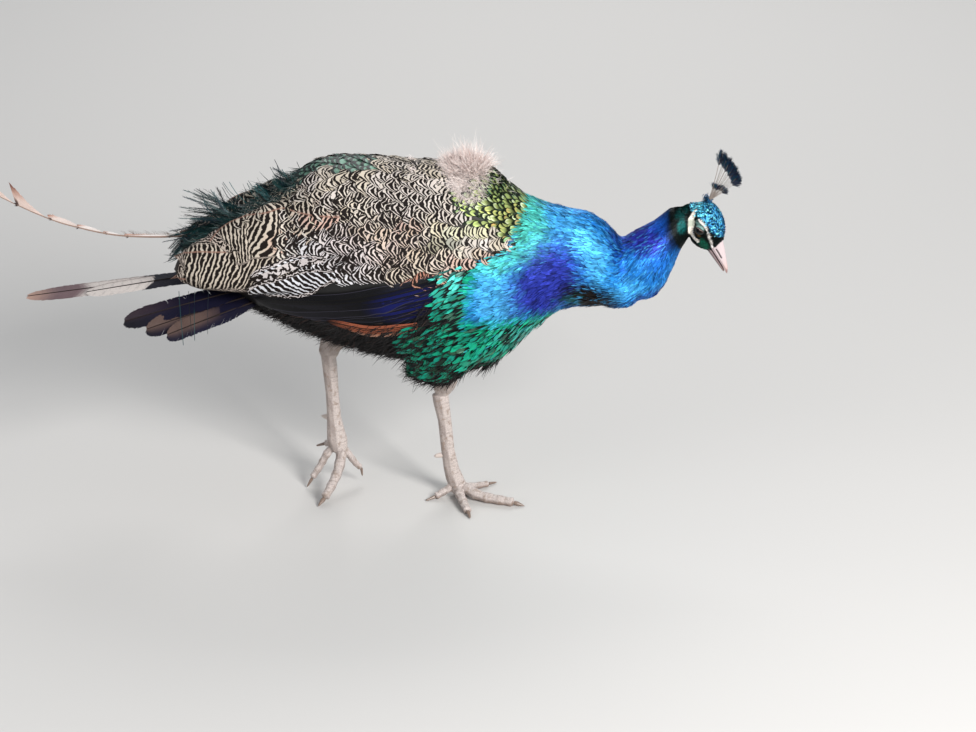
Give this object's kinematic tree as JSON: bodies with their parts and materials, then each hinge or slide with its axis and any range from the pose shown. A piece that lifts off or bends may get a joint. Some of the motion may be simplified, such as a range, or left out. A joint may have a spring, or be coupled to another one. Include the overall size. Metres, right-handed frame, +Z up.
{
  "type": "peacock",
  "caption": "Life-size still model of a moulting peacock mid-stride with its head held low: barred wings, brown tail, fan crest and one worn train plume.",
  "frame": {"origin": "on the floor at the centre of the flat under the right foot's pad, in the body's plane of symmetry", "axes": "+X towards the head, +Y towards the bird's left, +Z up"},
  "size_m": [0.8921, 0.2244, 0.4434],
  "materials": {
    "belly_feathers": "brown-black fluffy body feathers, matte",
    "green_feathers": "emerald iridescent body feathers, satin",
    "blue_feathers": "cobalt iridescent neck and head feathers, satin",
    "barred_feathers": "cream feathers with brown-black wavy bars, matte",
    "dark_flight_feathers": "blue-black secondaries, slight gloss",
    "rufous_flight_feathers": "rufous primaries, matte",
    "tail_feathers": "grey-brown tail feathers, slight sheen",
    "pale_plume": "worn tan plume with a white quill, matte",
    "down": "white-grey down, matte",
    "leg_skin": "pale grey-pink scaled leg skin",
    "horn": "pale horn of bill, claws and spurs, satin",
    "eye": "dark glossy eye"
  },
  "bodies": {
    "root": {"bill_lower": "horn", "bill_upper": "horn", "breast": "green_feathers", "claw_left_1": "horn", "claw_left_2": "horn", "claw_left_3": "horn", "claw_left_4": "horn", "claw_right_1": "horn", "claw_right_2": "horn", "claw_right_3": "horn", "claw_right_4": "horn", "crest": "green_feathers", "eye_left": "eye", "eye_right": "eye", "head": "blue_feathers", "mantle_down": "down", "neck_base": "blue_feathers", "neck_front": "blue_feathers", "rump_plumes": "green_feathers", "shank_left": "leg_skin", "shank_right": "leg_skin", "spur_left": "horn", "spur_right": "horn", "tail_feather_1": "tail_feathers", "tail_feather_2": "tail_feathers", "tail_feather_3": "tail_feathers", "tail_feather_4": "tail_feathers", "tail_feather_5": "tail_feathers", "tail_feather_6": "tail_feathers", "tail_feather_7": "tail_feathers", "tail_feather_8": "tail_feathers", "tail_feather_9": "tail_feathers", "tarsus_left": "leg_skin", "tarsus_right": "leg_skin", "thigh_left": "belly_feathers", "thigh_right": "belly_feathers", "toe_left_1": "leg_skin", "toe_left_2": "leg_skin", "toe_left_3": "leg_skin", "toe_left_4": "leg_skin", "toe_right_1": "leg_skin", "toe_right_2": "leg_skin", "toe_right_3": "leg_skin", "toe_right_4": "leg_skin", "trunk": "belly_feathers", "wing_left_coverts": "barred_feathers", "wing_left_primaries": "rufous_flight_feathers", "wing_left_secondaries": "dark_flight_feathers", "wing_right_coverts": "barred_feathers", "wing_right_primaries": "rufous_flight_feathers", "wing_right_secondaries": "dark_flight_feathers", "worn_plume": "pale_plume"}
  },
  "joints": []
}
